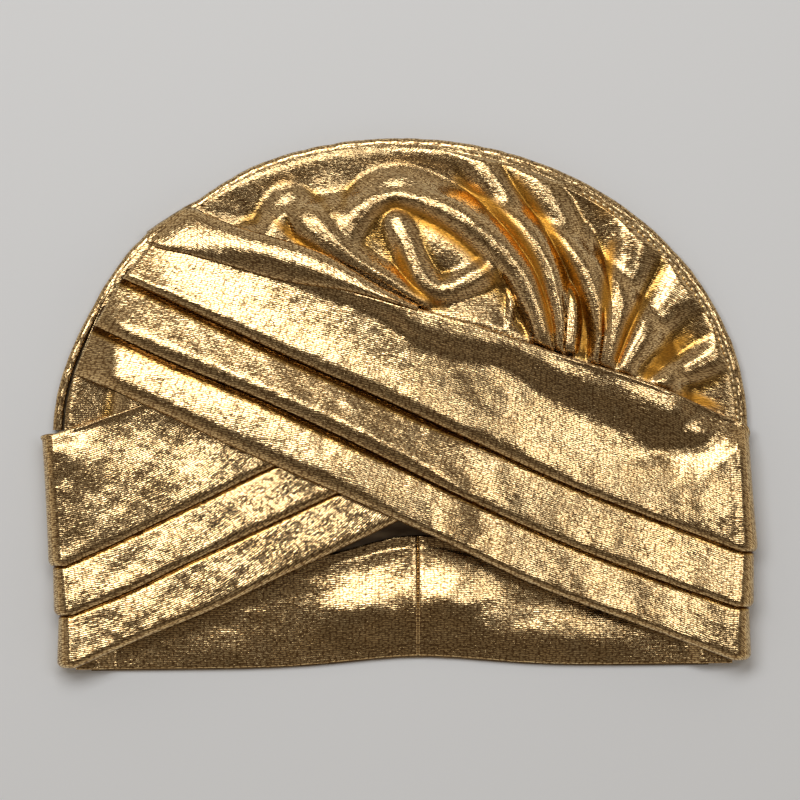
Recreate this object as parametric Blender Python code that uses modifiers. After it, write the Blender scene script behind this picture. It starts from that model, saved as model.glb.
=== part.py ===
"""Pre-tied turban cap of gold knit, lying flat with its front side up.

The cap lies on the plane z = 0. The crown points to +Y, the head goes in from -Y
and the front faces +Z. Two pleated wraps cross over the forehead and roll round
the cap's sides, a gathered crown rises behind them, and between their lower edges
the nape band shows on the inside of the back.
"""

import math
from collections import namedtuple

import bmesh
import bpy


def table(columns, *rows):
    """Rows of numbers with named columns."""
    row_type = namedtuple("Row", columns)
    return [row_type(*row) for row in rows]


# Overall size of the cap as it lies, in metres
CAP_WIDTH = 0.2594
CAP_LENGTH = 0.1926
HOLLOW_HEIGHT = 0.0115

# Cloth and seams
CLOTH = 0.0011
GAP = 0.0003
SEAM_WIDTH = 0.0034
SEAM_HEIGHT = 0.0032
NAPE_HEM = 0.0036
NAPE_SWELL = 0.0009

# Side rolls of the wraps
ROLL_RADIUS = 0.0040
SIDE_RISE = 0.0070
SIDE_BLEND = 0.0120
RETURN_LENGTH = 0.0140
CROWN_INSET = 0.0047
OVER_TOP_DROP = 0.0080
UNDER_TOP_DROP = 0.0020

# Pleats of the wraps: how deep a pleat is tucked, how long its hem is, and the run
# in which a face climbs over the layers underneath
PLEAT_TUCK = 0.0085
HEM_TUCK = 0.0070
STEP_RUN = 0.0012
DENT_DEPTH = 0.0007

# Where the wraps cross: how far the lower one reaches in under the top one, and how
# softly the top one comes down again beyond it
UNDER_END_REACH = 0.0150
CROSSING_EASE = 0.0180
CROSSING_END_EASE = 0.0280

# Gathers of the crown
RIDGE_HEIGHT = 0.0095
RIDGE_WIDTH = 0.0046
EDGE_LIFT = 0.0030
LIFT_REACH = 0.0060
LIFT_EASE = 0.0120
FOOT_TUCK = 0.0020

HALF = CAP_WIDTH / 2
LAYER = CLOTH + GAP
CROWN_BASE_Y = -0.045 * CAP_LENGTH
CROWN_HALF = HALF - CROWN_INSET
CROWN_RISE = CAP_LENGTH / 2 - CROWN_BASE_Y
CROWN_EDGE = SEAM_WIDTH + GAP + CLOTH / 2
SEAM_Z = LAYER + SEAM_HEIGHT / 2
UNDERSIDE_Z = 2 * LAYER + CLOTH / 2
RETURN_X = CROWN_HALF - RETURN_LENGTH

GOLD = (0.62, 0.44, 0.17, 1.0)
SHADE = (0.23, 0.16, 0.09, 1.0)

# Lines of the top wrap, at stations from the crown's seam (0) to the right side roll
# (1): the height of its top edge, of each pleat's lower fold and of its lower edge,
# in shares of CAP_LENGTH
OVER_LINES = table(
    "station top fold_1 fold_2 edge",
    (0.00, 0.314, 0.234, 0.148, 0.059),
    (0.12, 0.283, 0.169, 0.080, -0.006),
    (0.25, 0.242, 0.099, 0.015, -0.083),
    (0.40, 0.198, 0.021, -0.069, -0.164),
    (0.55, 0.154, -0.059, -0.158, -0.247),
    (0.70, 0.097, -0.139, -0.241, -0.336),
    (0.85, 0.045, -0.208, -0.313, -0.406),
    (1.00, -0.026, -0.273, -0.376, -0.475),
)
# Where each line leaves the crown's seam, in degrees round the crown from its right
# end, and how far out the side roll reaches there, in shares of HALF
OVER_ENDS = table(
    "line seam_degrees side",
    ("top", 137.0, 0.985),
    ("fold_1", 147.0, 1.000),
    ("fold_2", 158.0, 0.987),
    ("edge", 168.6, 0.980),
)

# The same lines of the lower wrap, from the left side roll (0) to its end that is
# hidden under the top wrap (1)
UNDER_LINES = table(
    "station top fold_1 fold_2 edge",
    (0.00, -0.050, -0.300, -0.392, -0.490),
    (0.20, -0.035, -0.258, -0.346, -0.432),
    (0.40, -0.018, -0.213, -0.292, -0.378),
    (0.60, -0.002, -0.168, -0.240, -0.314),
    (0.80, 0.018, -0.122, -0.188, -0.252),
    (1.00, 0.038, -0.082, -0.136, -0.186),
)
# How far out its side roll reaches and where the line ends inside, shares of HALF
UNDER_ENDS = table(
    "line side inner_x",
    ("top", 1.011, -0.600),
    ("fold_1", 0.981, -0.236),
    ("fold_2", 0.965, -0.084),
    ("edge", 0.957, 0.080),
)

# Small pleat of the crown over the top wrap's upper left edge, in shares of HALF and
# CAP_LENGTH
TOP_PLEAT = table(
    "x upper lower",
    (-0.655, 0.322, 0.296),
    (-0.585, 0.348, 0.284),
    (-0.469, 0.330, 0.261),
    (-0.328, 0.303, 0.235),
    (-0.186, 0.266, 0.221),
    (-0.056, 0.231, 0.207),
    (0.010, 0.215, 0.194),
)
# Its face from the upper to the lower edge: share of the way down and layer
TOP_PLEAT_FACE = table(
    "down layer",
    (0.00, 0.40),
    (0.30, 1.60),
    (0.55, 2.35),
    (0.80, 2.40),
    (1.00, 2.30),
)

# Line where the gathers go in under the wrap, in shares of HALF and CAP_LENGTH
GATHER_EDGE = table(
    "x y",
    (-0.950, 0.300),
    (-0.633, 0.348),
    (-0.469, 0.330),
    (-0.278, 0.292),
    (-0.056, 0.231),
    (0.080, 0.172),
    (0.294, 0.140),
    (0.425, 0.101),
    (0.708, 0.043),
    (0.950, -0.026),
)

# How the crown's cloth runs from that line to the crown's sewn edge: where a run
# starts, in shares of HALF, where it ends, in degrees round the crown, its bow as a
# share of its length, and the number of runs up to the next row
CROWN_RUNS = table(
    "edge_x rim_degrees bow runs",
    (-0.930, 180.0, 0.00, 4),
    (-0.800, 158.0, 0.00, 3),
    (-0.660, 137.0, 0.00, 6),
    (-0.300, 120.0, 0.00, 8),
    (0.080, 107.0, 0.10, 7),
    (0.391, 95.0, 0.15, 6),
    (0.450, 77.0, 0.09, 6),
    (0.550, 66.0, 0.09, 5),
    (0.580, 46.0, 0.00, 5),
    (0.620, 30.0, -0.04, 5),
    (0.735, 14.0, -0.03, 4),
    (0.930, 0.0, 0.00, 1),
)
HIDDEN_STEPS = 4
SHOWN_STEPS = 15

# Gathers of the crown, each from its foot over a middle point to its tip: x in
# shares of HALF, y in shares of CAP_LENGTH, height and width in shares of
# RIDGE_HEIGHT and RIDGE_WIDTH
GATHERS = table(
    "foot_x foot_y mid_x mid_y tip_x tip_y height width",
    (0.395, 0.114, 0.300, 0.292, -0.014, 0.419, 1.00, 0.85),
    (-0.155, 0.290, -0.150, 0.380, -0.014, 0.419, 0.80, 1.00),
    (0.450, 0.108, 0.385, 0.312, 0.211, 0.473, 0.95, 0.74),
    (0.550, 0.084, 0.512, 0.262, 0.345, 0.440, 0.95, 0.78),
    (0.572, 0.080, 0.640, 0.226, 0.640, 0.350, 0.90, 1.05),
    (0.625, 0.062, 0.705, 0.151, 0.800, 0.236, 0.85, 1.00),
    (0.735, 0.036, 0.810, 0.076, 0.885, 0.110, 0.60, 1.10),
    (-0.060, 0.236, -0.200, 0.340, -0.305, 0.391, 0.75, 0.90),
    (-0.350, 0.300, -0.368, 0.350, -0.305, 0.391, 0.60, 1.00),
    (0.200, 0.215, 0.050, 0.250, 0.005, 0.344, 0.75, 0.95),
    (-0.560, 0.375, -0.190, 0.470, 0.200, 0.474, 0.35, 1.10),
)

# The back's lower edge and the nape band's free edge, each a line with one soft
# rise in its middle: heights in shares of CAP_LENGTH, places in shares of HALF
HEM = table("level tilt rise middle spread", (-0.489, 0.007, 0.019, 0.05, 0.26))[0]
NAPE_TOP = table("level tilt rise middle spread", (-0.293, 0.0, 0.052, 0.05, 0.23))[0]

# Soft hollow in the top wrap near its right end, in shares of HALF and CAP_LENGTH
DENT = table("x y across along", (0.74, -0.10, 0.16, 0.055))[0]

# Where the crown's outline is flatter than a half round
FLATTENED = table(
    "degrees spread share",
    (156.0, 16.0, 0.020),
    (126.0, 8.0, 0.018),
)


def smooth(t):
    """0 below 0, 1 above 1, and a soft step between."""
    t = min(max(t, 0.0), 1.0)
    return t * t * (3 - 2 * t)


def along(rows, value, column):
    """One column of a table at a value of its first column, on a smooth curve."""
    keys = [row[0] for row in rows]
    last = len(rows) - 1
    i = max(1, min(last, sum(1 for key in keys if key <= value)))
    heights = [getattr(row, column) for row in rows]
    span = keys[i] - keys[i - 1]
    t = min(max((value - keys[i - 1]) / span, 0.0), 1.0)
    before, after = max(i - 2, 0), min(i + 1, last)
    lead = (heights[i] - heights[before]) / (keys[i] - keys[before]) * span
    tail = (heights[after] - heights[i - 1]) / (keys[after] - keys[i - 1]) * span
    return (
        heights[i - 1] * (2 * t**3 - 3 * t**2 + 1)
        + lead * (t**3 - 2 * t**2 + t)
        + heights[i] * (3 * t**2 - 2 * t**3)
        + tail * (t**3 - t**2)
    )


def crown_point(degrees, inset):
    """A point on the crown's half round outline, set in from it."""
    reach = 1.0
    for flat in FLATTENED:
        reach -= flat.share * math.exp(-(((degrees - flat.degrees) / flat.spread) ** 2))
    angle = math.radians(degrees)
    return (
        (CROWN_HALF * reach - inset) * math.cos(angle),
        CROWN_BASE_Y + (CROWN_RISE * reach - inset) * math.sin(angle),
    )


def crown_share(x, y):
    """0 in the middle of the crown's foot and 1 at the crown's sewn edge."""
    above = max(y - CROWN_BASE_Y, 0.0)
    share = math.hypot(x / (CROWN_HALF - CROWN_EDGE), above / (CROWN_RISE - CROWN_EDGE))
    return min(share, 1.0)


def roof(x, y, band):
    """Height of the hollow's roof. With band 1 it follows the wraps at the cap's
    sides, and with band 0 the crown alone, down to the crown's sewn edge."""
    side = band * smooth((CROWN_BASE_Y + SIDE_BLEND / 3 - y) / SIDE_BLEND)
    rim = (SEAM_Z - CLOTH / 2) * (1 - side) + SIDE_RISE * side
    share = crown_share(x, y) * (1 - 0.03 * side)
    return rim + (HOLLOW_HEIGHT - rim) * (1 - share**2.2) ** 0.6


def above_edge(x, y):
    """How far a point is above the line where the gathers go in under the wrap."""
    return y - CAP_LENGTH * along(GATHER_EDGE, x / HALF, "y")


def lift_here(x):
    """The gathers' height at the wrap's edge, which fades out to both sides."""
    left = smooth((x / HALF + 0.62) / 0.25)
    right = smooth((0.86 - x / HALF) / 0.16)
    return EDGE_LIFT * left * right


def edge_lift(x, y):
    """How much the gathers underneath raise the wrap near its top edge."""
    return lift_here(x) * (1 - smooth((-above_edge(x, y) - LIFT_REACH) / LIFT_EASE))


def gather_curve(gather, count=14):
    """Points on the bow through a gather's foot, middle and tip."""
    bend_x = 2 * gather.mid_x - (gather.foot_x + gather.tip_x) / 2
    bend_y = 2 * gather.mid_y - (gather.foot_y + gather.tip_y) / 2
    points = []
    for i in range(count + 1):
        t = i / count
        a, b, c = (1 - t) ** 2, 2 * t * (1 - t), t * t
        x = a * gather.foot_x + b * bend_x + c * gather.tip_x
        y = a * gather.foot_y + b * bend_y + c * gather.tip_y
        points.append((HALF * x, CAP_LENGTH * y))
    return points


GATHER_CURVES = [gather_curve(gather) for gather in GATHERS]


def nearest(points, x, y):
    """Distance from a point to a curve, and how far along the curve that is."""
    best, at = math.inf, 0.0
    for i, ((ax, ay), (bx, by)) in enumerate(zip(points, points[1:])):
        dx, dy = bx - ax, by - ay
        t = ((x - ax) * dx + (y - ay) * dy) / (dx * dx + dy * dy)
        t = min(max(t, 0.0), 1.0)
        away = math.hypot(x - ax - t * dx, y - ay - t * dy)
        if away < best:
            best, at = away, (i + t) / (len(points) - 1)
    return best, at


def gathers(x, y):
    """Height of the crown's gathers above the hollow's roof."""
    height = 0.0
    for gather, points in zip(GATHERS, GATHER_CURVES):
        away, at = nearest(points, x, y)
        fade = 1 - 0.75 * smooth((at - 0.6) / 0.4)
        width = RIDGE_WIDTH * gather.width
        height += RIDGE_HEIGHT * gather.height * fade * math.exp(-((away / width) ** 2))
    shown = above_edge(x, y)
    under_wrap = 0.85 * lift_here(x) * smooth(1 + shown / LIFT_REACH)
    near_edge = under_wrap + 1.2 * max(shown, 0.0)
    near_seam = RIDGE_HEIGHT * 1.3 * min((1 - crown_share(x, y)) / 0.10, 1.0)
    most = min(near_edge, near_seam)
    return most * math.tanh(height / most) if most > 0 else 0.0


def crown_height(x, y):
    """Middle of the crown's cloth."""
    return roof(x, y, 0) + CLOTH / 2 + gathers(x, y)


def bed(x, y):
    """Middle of the lowest layer of a wrap that lies on the crown or the hollow. It
    stands further off near the crown's edge, where the crown falls away steeply."""
    steep = crown_share(x, y) ** 8
    return roof(x, y, 1) + LAYER * (1 + 0.8 * steep) + CLOTH / 2


def cloth_material(name, colour):
    """A piece's own metallic knit."""
    material = bpy.data.materials.new(name + "_cloth")
    material.use_nodes = True
    shader = material.node_tree.nodes["Principled BSDF"]
    shader.inputs["Base Color"].default_value = colour
    shader.inputs["Roughness"].default_value = 0.35
    shader.inputs["Metallic"].default_value = 0.85
    return material


def add_object(name, vertices, faces, colour, collection):
    """A named mesh object with its own material."""
    mesh = bpy.data.meshes.new(name)
    mesh.from_pydata(vertices, [], faces)
    mesh.update()
    thing = bpy.data.objects.new(name, mesh)
    collection.objects.link(thing)
    mesh.materials.append(cloth_material(name, colour))
    mesh.shade_smooth()
    return thing


def grid_faces(count, across, flip):
    """Four-sided faces between the rows of a grid of points."""
    faces = []
    for i in range(count - 1):
        for j in range(across - 1):
            a = i * across + j
            face = (a, a + 1, a + across + 1, a + across)
            faces.append(face[::-1] if flip else face)
    return faces


def sheet(name, rows, colour, collection, flip):
    """A cloth wall through a grid of points, with its middle on the grid."""
    vertices = [point for row in rows for point in row]
    faces = grid_faces(len(rows), len(rows[0]), flip)
    thing = add_object(name, vertices, faces, colour, collection)
    wall = thing.modifiers.new("wall", "SOLIDIFY")
    wall.thickness = CLOTH
    wall.offset = 0
    wall.use_even_offset = True
    wall.use_quality_normals = True
    return thing


def fold_section(lines):
    """The zigzag of a pleated wrap at one station, as (x, y, layer) points.

    lines holds the flat (x, y) places of the top edge, each fold and the lower
    edge. The section starts with the top edge's hem. A pleat's face then starts one
    tuck up under the pleat above it, rises over the tuck of the pleat below it and
    turns under at its fold, and the last one turns under into the lower hem.
    """
    fold_radius = LAYER / 2
    edge_in = fold_radius + CLOTH / 2
    last = len(lines) - 1
    widths = [0.0] + [math.dist(a, b) for a, b in zip(lines, lines[1:])]
    points = []

    def place(k, back, layer):
        (ax, ay), (bx, by) = lines[k - 1], lines[k]
        t = back / widths[k]
        points.append((bx + (ax - bx) * t, by + (ay - by) * t, layer))

    top = widths[1] - edge_in
    hem = min(HEM_TUCK, 0.3 * widths[1])
    place(1, top - hem, 0)
    place(1, top, 0)
    place(1, top + fold_radius, 0.5)
    place(1, top, 1)
    place(1, top - hem - STEP_RUN, 1)
    place(1, widths[1] * 0.5, 0.35)
    for k in range(1, last + 1):
        tuck = min(PLEAT_TUCK, (0.25 if k == 1 else 0.45) * widths[k])
        layer = 2 if k < last else 1
        if k > 1:
            place(k, widths[k] * 0.93, 0.05)
        place(k, tuck + 3 * STEP_RUN, layer * 0.3 + (0.6 if k == 1 else 0))
        place(k, tuck + STEP_RUN, layer)
        place(k, edge_in, layer)
        place(k, edge_in - fold_radius, layer - 0.5)
        place(k, edge_in, layer - 1)
        if k < last:
            place(k, tuck, 1)
            (ax, ay), (bx, by) = lines[k], lines[k + 1]
            t = min(tuck, 0.45 * widths[k + 1]) / widths[k + 1]
            points.append((ax - (bx - ax) * t, ay - (by - ay) * t, 0))
        else:
            place(k, HEM_TUCK, 0)
    return points


def side_start(share):
    """Where a side roll starts, so that its outer layer reaches the cap's side."""
    return HALF * share - ROLL_RADIUS - 2 * LAYER - CLOTH / 2


def over_lines(station):
    """Flat places of the top wrap's lines at one station."""
    lines = []
    for end in OVER_ENDS:
        left_x, left_y = crown_point(end.seam_degrees, SEAM_WIDTH + 4 * GAP)
        x = left_x + (side_start(end.side) - left_x) * station
        y = CAP_LENGTH * along(OVER_LINES, station, end.line)
        off_seam = left_y - CAP_LENGTH * getattr(OVER_LINES[0], end.line)
        lines.append((x, y + off_seam * (1 - smooth(station / 0.3))))
    return lines


def under_lines(station):
    """Flat places of the lower wrap's lines at one station."""
    lines = []
    for end in UNDER_ENDS:
        left_x = -side_start(end.side)
        x = left_x + (HALF * end.inner_x - left_x) * station
        lines.append((x, CAP_LENGTH * along(UNDER_LINES, station, end.line)))
    return lines


def over_edge_y(x):
    """Height of the top wrap's lower edge above a place on the x axis."""
    end = OVER_ENDS[-1]
    left_x = crown_point(end.seam_degrees, SEAM_WIDTH)[0]
    station = (x - left_x) / (side_start(end.side) - left_x)
    return CAP_LENGTH * along(OVER_LINES, station, end.line)


def crossing_rise(x, y):
    """How much the lower wrap raises the top wrap where they cross."""
    inside = 1 - smooth((y - over_edge_y(x) - UNDER_END_REACH) / CROSSING_EASE)
    right = 1 - smooth((x - HALF * UNDER_ENDS[-1].inner_x) / CROSSING_END_EASE)
    left = smooth((x + HALF * 0.90) / CROSSING_EASE)
    return 3 * LAYER * inside * right * left


def dent(x, y):
    """The soft hollow in the top wrap near its right end."""
    across = (x / HALF - DENT.x) / DENT.across
    up = (y / CAP_LENGTH - DENT.y) / DENT.along
    return DENT_DEPTH * math.exp(-(across**2) - up**2)


def rolled(x, y, layer, angle, flat, sign):
    """A point of a wrap carried round the cap's side, and on along the underside."""
    out = ROLL_RADIUS + layer * LAYER
    high = bed(x, y)
    middle, half = (high + UNDERSIDE_Z) / 2, (high - UNDERSIDE_Z) / 2
    across = x + sign * (out * math.sin(angle) - flat)
    return (across, y, middle + (half + layer * LAYER) * math.cos(angle))


def wrap_rows(lines_at, stations, height_at, sign, top_drop):
    """Rows of points of a wrap, from its inner end round the side to the underside.
    Its top edge drops by top_drop on its way round the side."""
    rows = []
    for station in stations:
        section = fold_section(lines_at(station))
        rows.append([(x, y, height_at(x, y) + layer * LAYER) for x, y, layer in section])
    lines = lines_at(stations[-1])
    top_x, top_y = lines[0]
    turns = 6
    for i in range(1, turns + 1):
        angle = math.pi * i / turns
        lines[0] = (top_x, top_y - top_drop * (1 - math.cos(angle)) / 2)
        section = fold_section(lines)
        rows.append([rolled(x, y, layer, angle, 0, sign) for x, y, layer in section])
    inner_x = RETURN_X + GAP
    rows.append(
        [rolled(x, y, layer, math.pi, sign * x - inner_x, sign) for x, y, layer in section]
    )
    return rows


def make_wrap_over(collection):
    """The top wrap, from the crown's seam at upper left round the right side."""
    steps = 18

    def height(x, y):
        return bed(x, y) + crossing_rise(x, y) + edge_lift(x, y) - dent(x, y)

    stations = [i / steps for i in range(steps + 1)]
    rows = wrap_rows(over_lines, stations, height, 1, OVER_TOP_DROP)
    return sheet("wrap_over", rows, GOLD, collection, flip=True)


def make_wrap_under(collection):
    """The lower wrap, from its hidden end round the left side."""
    steps = 12
    stations = [1 - i / steps for i in range(steps + 1)]
    rows = wrap_rows(under_lines, stations, bed, -1, UNDER_TOP_DROP)
    return sheet("wrap_under", rows, GOLD, collection, flip=False)


def crown_run(edge_x, rim_degrees, bow):
    """Points of the crown from its foot over the wrap's edge to its sewn edge."""
    rim_x, rim_y = crown_point(rim_degrees, CROWN_EDGE)
    half = CROWN_HALF - CROWN_EDGE
    start_x = min(max(edge_x * HALF, -half), half)
    foot_y = CROWN_BASE_Y - FOOT_TUCK * (1 - edge_x) / 2
    start_y = CAP_LENGTH * along(GATHER_EDGE, start_x / HALF, "y")
    start_y = max(min(start_y, rim_y - FOOT_TUCK), foot_y + FOOT_TUCK)
    flat = []
    for j in range(HIDDEN_STEPS):
        flat.append((start_x, foot_y + (start_y - foot_y) * j / HIDDEN_STEPS))
    run_x, run_y = rim_x - start_x, rim_y - start_y
    for j in range(SHOWN_STEPS + 1):
        t = j / SHOWN_STEPS
        t = t + 0.10 * math.sin(math.pi * t)
        side = bow * 4 * t * (1 - t)
        flat.append((start_x + run_x * t + run_y * side, start_y + run_y * t - run_x * side))
    return [(x, y, crown_height(x, y)) for x, y in flat]


def make_crown(collection):
    """The gathered crown, from its foot under the wraps to its sewn edge."""
    rows = []
    for before, after in zip(CROWN_RUNS, CROWN_RUNS[1:]):
        for i in range(before.runs):
            t = i / before.runs
            rows.append(crown_run(*(a + (b - a) * t for a, b in zip(before[:3], after[:3]))))
    rows.append(crown_run(*CROWN_RUNS[-1][:3]))
    return sheet("crown", rows, GOLD, collection, flip=True)


def wrap_top_y(sign):
    """Where the crown's edge stops, just above the wrap's top edge at that side."""
    lines = over_lines(1) if sign > 0 else under_lines(0)
    return lines[0][1] + 4 * GAP


def make_crown_seam(collection):
    """The rolled seam that runs round the crown's edge."""
    sides, steps = 8, 44
    last = math.degrees(math.asin((wrap_top_y(1) - CROWN_BASE_Y) / CROWN_RISE))
    rings = []
    for i in range(steps + 1):
        degrees = 180 + (last - 180) * i / steps
        x, y = crown_point(degrees, SEAM_WIDTH / 2)
        out_x, out_y = math.cos(math.radians(degrees)), math.sin(math.radians(degrees))
        ring = []
        for j in range(sides):
            turn = 2 * math.pi * j / sides
            out = SEAM_WIDTH / 2 * math.cos(turn)
            up = SEAM_HEIGHT / 2 * math.sin(turn)
            ring.append((x + out_x * out, y + out_y * out, SEAM_Z + up))
        rings.append(ring + ring[:1])
    vertices = [point for ring in rings for point in ring]
    faces = grid_faces(len(rings), sides + 1, flip=True)
    faces.append(tuple(range(sides)))
    faces.append(tuple(range(steps * (sides + 1), steps * (sides + 1) + sides)))
    seam = add_object("crown_seam", vertices, faces, GOLD, collection)
    closed = bmesh.new()
    closed.from_mesh(seam.data)
    bmesh.ops.remove_doubles(closed, verts=closed.verts, dist=GAP / 100)
    bmesh.ops.recalc_face_normals(closed, faces=closed.faces)
    closed.to_mesh(seam.data)
    closed.free()
    return seam


def make_top_pleat(collection):
    """The small pleat of the crown that lies over the top wrap's upper left edge."""
    steps = 11
    first, last = TOP_PLEAT[0].x, TOP_PLEAT[-1].x
    rows = []
    for i in range(steps + 1):
        x_share = first + (last - first) * i / steps
        x = HALF * x_share
        upper = CAP_LENGTH * along(TOP_PLEAT, x_share, "upper")
        lower = CAP_LENGTH * along(TOP_PLEAT, x_share, "lower")
        row = []
        for face in TOP_PLEAT_FACE:
            y = upper + (lower - upper) * face.down
            row.append((x, y, bed(x, y) + edge_lift(x, y) + face.layer * LAYER))
        rows.append(row)
    return sheet("top_pleat", rows, GOLD, collection, flip=True)


def risen_line(line, x):
    """A nearly level line with one soft rise, at a place on the x axis."""
    share = x / HALF
    rise = line.rise * math.exp(-(((share - line.middle) / line.spread) ** 2))
    return CAP_LENGTH * (line.level + line.tilt * share + rise)


def make_nape_band(name, side, collection):
    """One half of the band inside the back, from the centre seam to the side, where
    it lies on the end of the wrap that comes round from the front."""
    start_x = HALF * NAPE_TOP.middle + side * GAP / 2
    roll_start = side_start(min(end.side for end in (OVER_ENDS if side > 0 else UNDER_ENDS)))
    end_x = side * (roll_start - GAP)
    climb_x = RETURN_X - 4 * ROLL_RADIUS / 3
    steps = 14
    rows = []
    for i in range(steps + 1):
        x = start_x + (end_x - start_x) * i / steps
        climb = 2 * LAYER * smooth((abs(x) - climb_x + ROLL_RADIUS) / (2 * ROLL_RADIUS))
        swell = NAPE_SWELL * math.exp(-(((abs(x) / HALF - 0.35) / 0.23) ** 2))
        low, high = risen_line(HEM, x) + 2 * GAP, risen_line(NAPE_TOP, x)
        row = []
        for up in (0, 0.2, 0.4, 0.6, 0.8, 1 - NAPE_HEM / (high - low), 1):
            z = LAYER + CLOTH / 2 + climb + swell * math.sin(math.pi * up)
            row.append((x, low + (high - low) * up, z))
        rows.append(row)
    return sheet(name, rows, GOLD, collection, flip=side > 0)


def make_back_panel(collection):
    """The back of the cap, flat where it lies."""
    steps = 40
    outline = []
    for i in range(steps + 1):
        x, y = crown_point(180 * (1 - i / steps), GAP)
        outline.append((x, max(y, wrap_top_y(x))))
    outline.append((RETURN_X, wrap_top_y(1)))
    hem_x = [RETURN_X * (1 - i / 10) for i in range(21)]
    outline += [(x, risen_line(HEM, x)) for x in hem_x]
    outline.append((-RETURN_X, wrap_top_y(-1)))

    curve = bpy.data.curves.new("back_panel", "CURVE")
    curve.dimensions = "2D"
    curve.fill_mode = "BOTH"
    curve.extrude = CLOTH / 2
    spline = curve.splines.new("POLY")
    spline.points.add(len(outline) - 1)
    for point, (x, y) in zip(spline.points, outline):
        point.co = (x, y, 0, 1)
    spline.use_cyclic_u = True
    panel = bpy.data.objects.new("back_panel", curve)
    panel.location = (0, 0, CLOTH / 2)
    collection.objects.link(panel)
    curve.materials.append(cloth_material("back_panel", SHADE))
    return panel


def main():
    for thing in list(bpy.data.objects):
        bpy.data.objects.remove(thing, do_unlink=True)
    cap = bpy.data.collections.new("turban_cap")
    bpy.context.scene.collection.children.link(cap)
    make_wrap_over(cap)
    make_wrap_under(cap)
    make_crown(cap)
    make_crown_seam(cap)
    make_top_pleat(cap)
    make_nape_band("nape_band_left", -1, cap)
    make_nape_band("nape_band_right", 1, cap)
    make_back_panel(cap)


main()
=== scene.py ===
"""Looks of the pre-tied gold turban cap: fine pleated cloth, gathers, seams and lame.

Everything is in metres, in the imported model's own frame: the cap lies on z = 0 with
its crown towards +Y and its front up. The cloth pieces follow the same lines as the
solids that they replace, on finer grids and with the small folds on top.
"""

import math
from collections import namedtuple
from functools import partial

import bpy
import numpy as np
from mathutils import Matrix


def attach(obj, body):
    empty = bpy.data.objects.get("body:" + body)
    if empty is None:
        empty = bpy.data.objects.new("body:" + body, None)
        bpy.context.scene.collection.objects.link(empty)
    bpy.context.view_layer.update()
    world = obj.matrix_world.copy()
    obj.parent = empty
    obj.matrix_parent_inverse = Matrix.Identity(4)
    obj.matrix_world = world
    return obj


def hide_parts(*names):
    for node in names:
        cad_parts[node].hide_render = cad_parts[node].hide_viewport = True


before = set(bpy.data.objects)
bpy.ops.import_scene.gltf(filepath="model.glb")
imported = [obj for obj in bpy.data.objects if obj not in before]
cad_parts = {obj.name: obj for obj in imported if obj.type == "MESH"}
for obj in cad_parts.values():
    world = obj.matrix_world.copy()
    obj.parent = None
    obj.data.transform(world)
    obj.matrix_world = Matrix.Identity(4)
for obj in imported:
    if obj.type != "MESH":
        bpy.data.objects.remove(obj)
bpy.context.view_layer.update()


def table(columns, *rows):
    """Rows of numbers with named columns."""
    row_type = namedtuple("Row", columns)
    return [row_type(*row) for row in rows]


# Sizes that the cloth shares with the solids
CAP_WIDTH = 0.2594
CAP_LENGTH = 0.1926
HOLLOW_HEIGHT = 0.0115
SOLID_WALL = 0.0011
GAP = 0.0003
SEAM_WIDTH = 0.0034
SEAM_HEIGHT = 0.0032
NAPE_HEM = 0.0036
NAPE_SWELL = 0.0002
ROLL_RADIUS = 0.0040
SIDE_RISE = 0.0070
SIDE_BLEND = 0.0120
RETURN_LENGTH = 0.0140
CROWN_INSET = 0.0047
OVER_TOP_DROP = 0.0080
UNDER_TOP_DROP = 0.0020
PLEAT_TUCK = 0.0085
HEM_TUCK = 0.0070
PLEAT_RISE = 0.0024
FOLD_LAYERS = 2.5
EDGE_LAYERS = 1.9
FLAT_LAYERS = 1.32
SIDE_CRISP = 0.0140
PRESS_EASE = 0.0120
FOOT_REACH = 0.0070
UNDER_END_REACH = 0.0150
CROSSING_EASE = 0.0500
LEFT_EASE = 0.0180
CROSSING_END_EASE = 0.0280
EDGE_LIFT = 0.0030
LIFT_REACH = 0.0045
LIFT_EASE = 0.0105
FOOT_TUCK = 0.0020

HALF = CAP_WIDTH / 2
LAYER = SOLID_WALL + GAP
CROWN_BASE_Y = -0.045 * CAP_LENGTH
CROWN_HALF = HALF - CROWN_INSET
CROWN_RISE = CAP_LENGTH / 2 - CROWN_BASE_Y
CROWN_EDGE = SEAM_WIDTH + GAP + SOLID_WALL / 2
SEAM_Z = LAYER + SEAM_HEIGHT / 2
UNDERSIDE_Z = 2 * LAYER + SOLID_WALL / 2
RETURN_X = CROWN_HALF - RETURN_LENGTH

# The crown's folds, and how they end at the wrap's edge and at the seam
ROLL_COVER = 0.0017
FOLD_SPREAD = 2.60
FOLD_SCALE = 0.74
FOLD_POWER = 3.0
CREST_DIP = 0.09
CREST_DIP_WIDTH = 0.28
FOOT_FILL = 0.85
FOOT_SWELL = 0.62
GATHER_CLIMB = 1.6
GATHER_MOST = 0.012
SEAM_CALM = 0.05
VALLEY_SHADE = 0.66
VALLEY_REACH = 0.0050
VALLEY_DEPTH = 0.0015
SEAM_TUCK = 0.0040
SEAM_SQUARE = 0.75
SEAM_LEAN = 0.20
STITCH_INSET = 0.0036
STITCH_PITCH = 0.0026
STITCH_HALF_LENGTH = 0.00100
STITCH_RADIUS = 0.00056

# The cloth itself, and how fine its grids are
CLOTH = 0.0008
CELL = 0.00095
OVER_FLATTENS = (0.62, 0.46, 0.38)
MOSTLY_FLAT = 0.85
FLATTENS_OVER = 0.14
OVER_STATIONS = 240
UNDER_STATIONS = 140

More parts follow.
